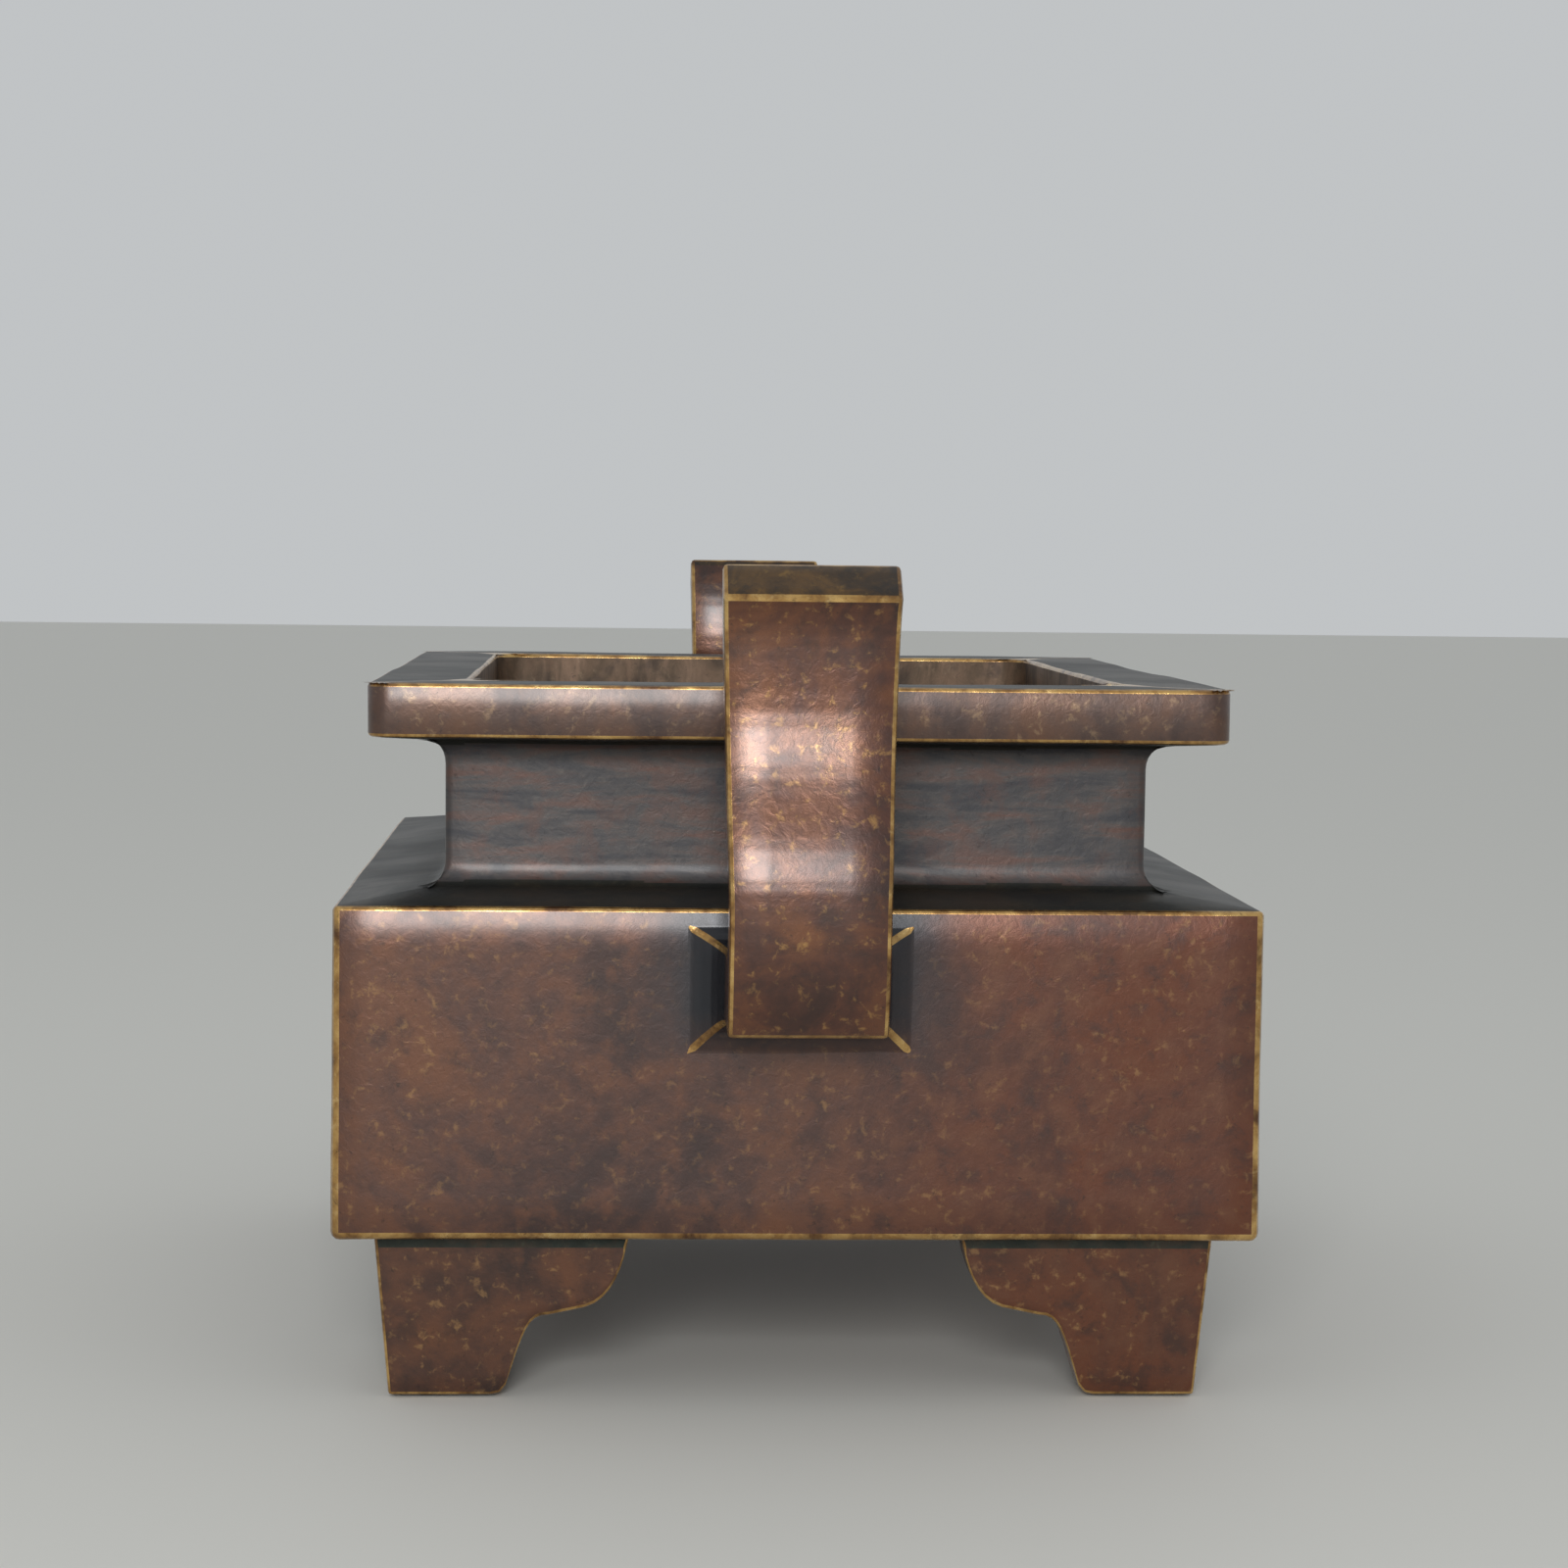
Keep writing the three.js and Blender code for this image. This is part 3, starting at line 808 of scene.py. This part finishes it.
    def build(self) -> None:
        """Models and dresses the casting, and puts it in the frame."""
        piece = self.model()
        dress(piece, [BELLY, NECK, SHOULDER, RIM_SIDE, MOUTH, CHAMBER], self.zone)
        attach(piece, ROOT)
        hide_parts("body")
        LOG.info("vessel: %d faces", len(piece.data.polygons))


def bezier(points: list[tuple[float, float]], steps: int) -> list[tuple[float, float]]:
    """Works out points along a cubic curve.

    Args:
        points: its four control points.
        steps: how many points to give.

    Returns:
        The points, without the curve's first one.
    """
    path = []
    for i in range(1, steps + 1):
        t = i / steps
        weights = ((1 - t) ** 3, 3 * t * (1 - t) ** 2, 3 * t * t * (1 - t), t ** 3)
        path.append(tuple(sum(w * p[axis] for w, p in zip(weights, points)) for axis in (0, 1)))
    return path


@dataclass
class StrapHandle:
    """An S-curved strap on a short stem with a root that spreads over the wall. Millimetres."""

    node: str
    wall: float
    turned: bool
    belly_top: float
    rim_top: float
    skin: float = 0.15
    drop: float = 12.7
    stem: float = 8.5
    strap: float = 6.0
    under_edge_reach: float = 16.5
    bulge_reach: float = 20.2
    bulge_above: float = 14.8
    waist_reach: float = 15.2
    lip_reach: float = 17.3
    lip_rise: float = 10.3
    lip_thickness: float = 5.9
    lip_lean: float = math.radians(40)
    tuck: float = math.radians(36)
    bend: float = 5.0
    width_foot: float = 17.9
    width_lip: float = 19.8
    flare: float = 5.0
    flare_up: float = 2.8
    flare_depth: float = 5.0
    flare_steps: int = 6
    root_start: float = -0.4
    root_depth: float = 1.5
    stem_front: tuple[float, float] = (9.0, 13.0)
    stem_back: tuple[float, float] = (7.5, 8.6)
    bend_steps: int = 8
    sweep_steps: int = 14

    # Shares of a stretch's rise that shape its curve
    bulge_pull: float = 0.34
    waist_pull: float = 0.46
    lip_pull: float = 0.3
    lip_front_pull: float = 0.5
    lip_back_pull: float = 0.6

    # Where the cut lip's finish begins, and how far up its faces point
    lip_margin: float = 0.3
    lip_facing: float = 0.5

    def fronts_and_backs(self) -> list[tuple[tuple[float, float], tuple[float, float]]]:
        """Works out the strap's side view.

        Returns:
            Pairs of front and back points, each as a distance out from the wall and a level.
        """
        low = self.belly_top - self.drop
        bulge_z = low + self.bulge_above
        lip_z = self.rim_top + self.lip_rise
        rise = self.rim_top - bulge_z
        stem_top = low + self.stem
        reach = self.bulge_reach - self.skin
        third = self.bulge_above / 3
        lean = (math.sin(self.lip_lean), math.cos(self.lip_lean))
        lip_back = (self.lip_reach - self.lip_thickness * lean[1], lip_z + self.lip_thickness * lean[0])
        back_waist = self.waist_reach - self.strap
        back_bulge = self.bulge_reach - self.strap
        tucked = (self.under_edge_reach + third * math.sin(self.tuck), low + third * math.cos(self.tuck))
        front = [(out, low) for out in (*self.stem_front, self.under_edge_reach)]
        front += bezier([front[-1], tucked, (reach, bulge_z - third), (reach, bulge_z)], self.bend_steps)
        back = [(out, stem_top) for out in (*self.stem_back, back_bulge - self.bend)]
        centre = (back_bulge - self.bend, stem_top + self.bend)
        for i in range(1, self.bend_steps + 1):
            angle = math.radians(-90 + 90 * i / self.bend_steps)
            back.append((centre[0] + self.bend * math.cos(angle), centre[1] + self.bend * math.sin(angle)))
        back[-1] = (back_bulge, bulge_z)
        leave, arrive = bulge_z + self.bulge_pull * rise, self.rim_top - self.waist_pull * rise
        pull = self.lip_pull * self.lip_rise
        for side, bulge, waist, lip, waist_rise in (
            (front, reach, self.waist_reach, (self.lip_reach, lip_z), self.lip_front_pull),
            (back, back_bulge, back_waist, lip_back, self.lip_back_pull),
        ):
            side += bezier([(bulge, bulge_z), (bulge, leave), (waist, arrive), (waist, self.rim_top)],
                           self.sweep_steps)
            side += bezier([(waist, self.rim_top), (waist, self.rim_top + waist_rise * self.lip_rise),
                            (lip[0] - pull * lean[0], lip[1] - pull * lean[1]), lip], self.bend_steps)
        return list(zip(front, back))

    def model(self) -> bpy.types.Object:
        """Models the handle from a plate in the wall, pulled out, drawn in and led up the S-curve.

        Returns:
            The handle's object, at the front wall.
        """
        low = self.belly_top - self.drop
        high = low + self.stem
        half = self.width_foot / 2
        edge = self.root_start
        sizes = []
        for i in range(self.flare_steps + 1):
            angle = math.radians(90 * i / self.flare_steps)
            spread = 1 - math.sin(angle)
            out = edge + (self.flare_depth - edge) * (1 - math.cos(angle))
            fall, climb = self.flare * spread, self.flare_up * spread
            sizes.append((out, half + fall, low - fall, high + climb))
        out, half_x, bottom, top = sizes[0]
        work = Workpiece(self.node.replace("handle", "strap_handle"),
                         Vector((-half_x, -self.wall - out, bottom)) * MILLIMETRE,
                         Vector((half_x, -self.wall - edge + self.root_depth, top)) * MILLIMETRE)
        work.pick_faces(lambda middle, normal: normal.y < -SQUARELY)
        for (o0, h0, b0, t0), (o1, h1, b1, t1) in zip(sizes, sizes[1:]):
            work.extrude(0, o0 - o1, 0)
            scale = (t1 - b1) / (t0 - b0)
            fixed = (b1 - scale * b0) / (1 - scale)
            work.resize(h1 / h0, 1, scale, (0, 0, fixed))
        front, back, width = (self.flare_depth, low), (self.flare_depth, high), 2 * half
        bulge_z = low + self.bulge_above
        lip_z = self.rim_top + self.lip_rise
        for next_front, next_back in self.fronts_and_backs():
            shift = (next_front[0] - front[0], next_front[1] - front[1])
            work.extrude(0, -shift[0], shift[1])
            moved_back = (back[0] + shift[0], back[1] + shift[1])
            rest = (next_back[0] - moved_back[0], next_back[1] - moved_back[1])
            if abs(rest[0]) + abs(rest[1]) > LEAST_MOVE:
                work.move_picked_ends(
                    lambda p: at(p.y, -self.wall - moved_back[0]) and at(p.z, moved_back[1]),
                    (0, -rest[0], rest[1]))
            share = min(max((next_front[1] - bulge_z) / (lip_z - bulge_z), 0), 1)
            next_width = self.width_foot + (self.width_lip - self.width_foot) * share
            work.resize(next_width / width, 1, 1, (0, 0, 0))
            front, back, width = next_front, next_back, next_width
        return work.finish(levels=2, wobble_mm=0.12, worn_mm=0.55)

    def zone(self, middle: Vector, normal: Vector) -> Bronze:
        """Chooses a face's finish.

        Args:
            middle: the face's middle in millimetres.
            normal: its normal.

        Returns:
            The finish: the root carries on the belly's patina and its painted shade.
        """
        if middle.z > self.rim_top + self.lip_rise + self.lip_margin and normal.z > self.lip_facing:
            return LIP
        return BELLY if -middle.y - self.wall < self.flare_depth else HANDLE

    def build(self) -> None:
        """Models and dresses the handle, and puts it in the frame."""
        piece = self.model()
        dress(piece, [HANDLE, LIP, BELLY], self.zone)
        if self.turned:
            piece.data.transform(Matrix.Rotation(math.pi, 4, "Z"))
        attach(piece, ROOT)
        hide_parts(self.node)
        LOG.info("%s: %d faces", piece.name, len(piece.data.polygons))


@dataclass
class BracketFoot:
    """A foot whose two wings meet at the corner, each with a scrolled lower edge. Millimetres."""

    height: float = 19.4
    spread: float = 29.7
    lean: float = 1.6
    pad: float = 12.0
    wing: float = 6.0
    skin: float = 0.1
    toe: float = 1.2
    lobe_width: float = 5.7
    lobe_height: float = 8.7
    shelf_width: float = 4.3
    shelf_drop: float = 0.9
    cove_width: float = 4.2
    cove_height: float = 4.6
    post_notch: float = 2.0
    post_inset: float = 0.4
    post_back: float = 0.2
    least_web: float = 0.3
    # How deep the painted shadow of the belly's overhang reaches down the foot
    overhang_shadow_depth: float = 1.4
    scroll_steps: tuple[int, int] = (6, 8)

    # Shares of the toe, the cove and the lobe that shape their curves
    toe_shares: tuple[float, float, float] = (0.9, 0.25, 1.6)
    cove_pulls: tuple[float, float, float] = (0.35, 0.25, 0.5)
    lobe_pulls: tuple[float, float, float, float] = (0.55, 0.1, 0.15, 0.55)

    def scroll(self) -> list[tuple[float, float]]:
        """Works out the wing's lower edge, from the pad out to the belly.

        Returns:
            Its points, each as a distance along the wing and a level.
        """
        lobe = (self.spread - self.lobe_width, self.height - self.lobe_height)
        shelf = (lobe[0] - self.shelf_width, lobe[1] - self.shelf_drop)
        leg = (shelf[0] - self.cove_width, shelf[1] - self.cove_height)
        cove_steps, lobe_steps = self.scroll_steps
        toe_out, toe_up, toe_end = self.toe_shares
        cove_out, cove_down, cove_back = self.cove_pulls
        lobe_out, lobe_up, tip_back, tip_up = self.lobe_pulls
        path = [(self.pad, 0.0), (self.pad + toe_out * self.toe, toe_up * self.toe)]
        path += [(self.pad + toe_end * self.toe, self.toe)]
        path += [((path[-1][0] + leg[0]) / 2, (path[-1][1] + leg[1]) / 2), leg]
        path += bezier([leg, (leg[0] + cove_out * self.cove_width, shelf[1] - cove_down * self.cove_height),
                        (shelf[0] - cove_back * self.cove_width, shelf[1]), shelf], cove_steps)
        path += [lobe]
        path += bezier([lobe, (lobe[0] + lobe_out * self.lobe_width, lobe[1] + lobe_up * self.lobe_height),
                        (self.spread - tip_back * self.lobe_width, lobe[1] + tip_up * self.lobe_height),
                        (self.spread, self.height)], lobe_steps)
        return path

    def model(self) -> bpy.types.Object:
        """Models one foot.

        Returns:
            Its object, with its corner at the origin and its wings along +X and +Y.
        """
        height = self.height - self.skin
        low = Vector((self.skin, self.skin, self.skin)) * MILLIMETRE
        high = Vector((self.pad, self.wing, height)) * MILLIMETRE
        work = Workpiece("bracket_foot", low, high)
        for axis in (0, 1):
            work.pick_faces(lambda middle, normal: normal[axis] > SQUARELY and middle[1 - axis] < self.wing)
            if axis == 1:
                work.slice(0, [self.wing])
                work.pick_faces(lambda middle, normal: normal.y > SQUARELY and middle.x < self.wing)
                work.extrude(0, self.pad - self.wing, 0)
            self._wing(work, axis, height)
        work.close()
        self._post(work.piece, height)
        work.open()
        # A level cut where the painted shadow of the belly's overhang begins
        work.slice(2, [height - self.overhang_shadow_depth])
        self._tilt(work)
        return work.finish(levels=3, wobble_mm=0.08, worn_mm=0.35)

    def _wing(self, work: Workpiece, axis: int, height: float) -> None:
        """Pulls a wing out of the selected face and lifts its lower edge along the scroll.

        Args:
            work: the mesh under the hands.
            axis: 0 for the wing along X, 1 for the one along Y.
            height: the foot's height.
        """
        place, level = self.pad, self.skin
        for next_place, next_level in self.scroll()[1:]:
            next_level = min(next_level, height - self.least_web)
            shift = [0.0, 0.0, 0.0]
            shift[axis] = next_place - place
            work.extrude(*shift)
            work.move_picked_ends(lambda p: at(p.z, level) and at(p[axis], next_place),
                                  (0, 0, next_level - level))
            place, level = next_place, next_level

    def _post(self, piece: bpy.types.Object, height: float) -> None:
        """Joins the solid post at the corner to the wings.

        Args:
            piece: the wings.
            height: the foot's height.
        """
        outer = self.skin + self.post_inset
        inner = self.pad - self.post_back
        post = Workpiece("post", Vector((outer, outer, self.skin)) * MILLIMETRE,
                         Vector((inner, inner, height)) * MILLIMETRE)
        post.bevel(self.post_notch, 1, lambda a, b: all(at(p.x, inner) and at(p.y, inner) for p in (a, b)))
        post.close()
        bpy.ops.object.select_all(action="DESELECT")
        bpy.context.view_layer.objects.active = piece
        join = piece.modifiers.new("post", "BOOLEAN")
        join.operation = "UNION"
        join.solver = "EXACT"
        join.object = post.piece
        bpy.ops.object.modifier_apply(modifier=join.name)
        bpy.data.objects.remove(post.piece, do_unlink=True)

    def _tilt(self, work: Workpiece) -> None:
        """Leans the foot inwards towards the floor.

        Args:
            work: the mesh under the hands.
        """
        mesh = bmesh.from_edit_mesh(work.piece.data)
        for point in mesh.verts:
            share = 1 - point.co.z / mm(self.height)
            point.co.x += mm(self.lean) * share
            point.co.y += mm(self.lean) * share
        bmesh.update_edit_mesh(work.piece.data)

    def zone(self, middle: Vector, normal: Vector) -> Bronze:
        """Returns a face's finish by its level: the foot's own, or the painted shadow of the belly's
        overhang along its top.
        """
        return PAINTED_OVERHANG_SHADOW if middle.z > self.height - self.skin - self.overhang_shadow_depth else FOOT


@dataclass
class Feet:
    """The four feet, modelled once and turned to their corners. Millimetres."""

    pattern: BracketFoot = field(default_factory=BracketFoot)
    corners: tuple[tuple[str, float], ...] = (
        ("front_left", 0.0), ("front_right", 90.0), ("back_right", 180.0), ("back_left", 270.0))

    def build(self) -> None:
        """Models the feet and puts each at its CAD node's corner."""
        first = self.pattern.model()
        dress(first, [FOOT, PAINTED_OVERHANG_SHADOW], self.pattern.zone)
        for name, degrees in self.corners:
            low, high = (Vector(corner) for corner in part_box(f"foot_{name}"))
            middle = (low + high) / 2
            at_corner = Vector((math.copysign(max(abs(low.x), abs(high.x)), middle.x),
                                math.copysign(max(abs(low.y), abs(high.y)), middle.y), 0))
            piece = bpy.data.objects.new(f"bracket_foot_{name}", first.data.copy())
            bpy.context.collection.objects.link(piece)
            turn = Matrix.Rotation(math.radians(degrees), 4, "Z")
            piece.data.transform(Matrix.Translation(at_corner) @ turn)
            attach(piece, ROOT)
            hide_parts(f"foot_{name}")
            LOG.info("%s: %d faces", piece.name, len(piece.data.polygons))
        bpy.data.objects.remove(first, do_unlink=True)


def dress_rivets(nodes: dict[str, bpy.types.Object]) -> None:
    """Gives the copper rivets inside the belly their finish.

    Args:
        nodes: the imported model's nodes by name.
    """
    for name, node in nodes.items():
        if "rivet" in name:
            node.data.materials.clear()
            node.data.materials.append(COPPER.ready())
            LOG.info("%s: dressed", name)


@dataclass(frozen=True)
class Photograph:
    """Where the photograph was taken from. Metres, degrees, and pixels of a 1600-pixel square."""

    eye: tuple[float, float, float] = (-0.02185, -0.46785, 0.09924)
    yaw: float = -2.807
    pitch: float = 3.79
    roll: float = 0.65
    focal: float = 3583.0
    nearest: float = 0.01

    def place_camera(self) -> None:
        """Adds the camera and makes it the scene's own."""
        yaw, pitch, roll = (math.radians(a) for a in (self.yaw, self.pitch, self.roll))
        right = Vector((math.cos(yaw), math.sin(yaw), 0))
        level = Vector((-math.sin(yaw), math.cos(yaw), 0))
        ahead = level * math.cos(pitch) - Vector((0, 0, math.sin(pitch)))
        up = right.cross(ahead)
        camera_right = math.cos(roll) * right + math.sin(roll) * up
        camera_up = -math.sin(roll) * right + math.cos(roll) * up
        camera = bpy.data.cameras.new("camera")
        camera.sensor_width = SENSOR_MM
        camera.lens = self.focal / PHOTO_SIDE * SENSOR_MM
        camera.clip_start = self.nearest
        holder = bpy.data.objects.new("camera", camera)
        bpy.context.collection.objects.link(holder)
        turn = Matrix((camera_right, camera_up, -ahead)).transposed().to_4x4()
        holder.matrix_world = Matrix.Translation(self.eye) @ turn
        bpy.context.scene.camera = holder


@dataclass(frozen=True)
class Studio:
    """A pale floor under soft light. Metres and watts."""

    floor_side: float = 8.0
    floor_drop: float = 0.0002
    floor_roughness: float = 0.7
    floor_colour: str = "#d8d7d1"
    air_colour: str = "#d5d8da"
    air_strength: float = 0.8
    key_place: tuple[float, float, float] = (-0.10, -0.98, 0.36)
    key_side: float = 0.30
    key_power: float = 5.0
    aim: tuple[float, float, float] = (0.0, 0.0, 0.055)

    def build(self) -> None:
        """Adds the floor, the lamps and the air."""
        bpy.ops.object.select_all(action="DESELECT")
        bpy.ops.mesh.primitive_plane_add(size=self.floor_side, location=(0, 0, -self.floor_drop))
        floor = bpy.context.object
        floor.name = "floor"
        bpy.ops.object.transform_apply(location=True)
        paint = bpy.data.materials.new("matt_pale_paint")
        paint.use_nodes = True
        shader = paint.node_tree.nodes["Principled BSDF"]
        shader.inputs["Base Color"].default_value = linear(self.floor_colour)
        shader.inputs["Roughness"].default_value = self.floor_roughness
        floor.data.materials.append(paint)
        self._lamp("key", self.key_place, self.key_side, self.key_power)
        world = bpy.data.worlds.new("air")
        world.use_nodes = True
        air = world.node_tree.nodes["Background"]
        air.inputs["Color"].default_value = linear(self.air_colour)
        air.inputs["Strength"].default_value = self.air_strength
        bpy.context.scene.world = world

    def _lamp(self, name: str, place: tuple[float, float, float], side: float, power: float) -> None:
        """Adds a square soft lamp that faces the burner.

        Args:
            name: the lamp's name.
            place: where it stands.
            side: its side.
            power: its power.
        """
        light = bpy.data.lights.new(name, "AREA")
        light.shape = "SQUARE"
        light.size = side
        light.energy = power
        lamp = bpy.data.objects.new(name, light)
        bpy.context.collection.objects.link(lamp)
        lamp.location = place
        lamp.rotation_euler = (Vector(self.aim) - Vector(place)).to_track_quat("-Z", "Y").to_euler()


def main() -> None:
    """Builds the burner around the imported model."""
    logging.basicConfig(level=logging.INFO, format="%(name)s: %(message)s")
    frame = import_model()
    scene = bpy.context.scene
    scene.view_settings.view_transform = "Standard"
    Photograph().place_camera()
    vessel = Vessel.from_frame()
    vessel.build()
    for node, turned in (("handle_front", False), ("handle_back", True)):
        StrapHandle(node, vessel.length / 2, turned, vessel.belly_top, vessel.rim_top).build()
    Feet().build()
    dress_rivets(frame["nodes"])
    Studio().build()


if __name__ == "__main__":
    main()
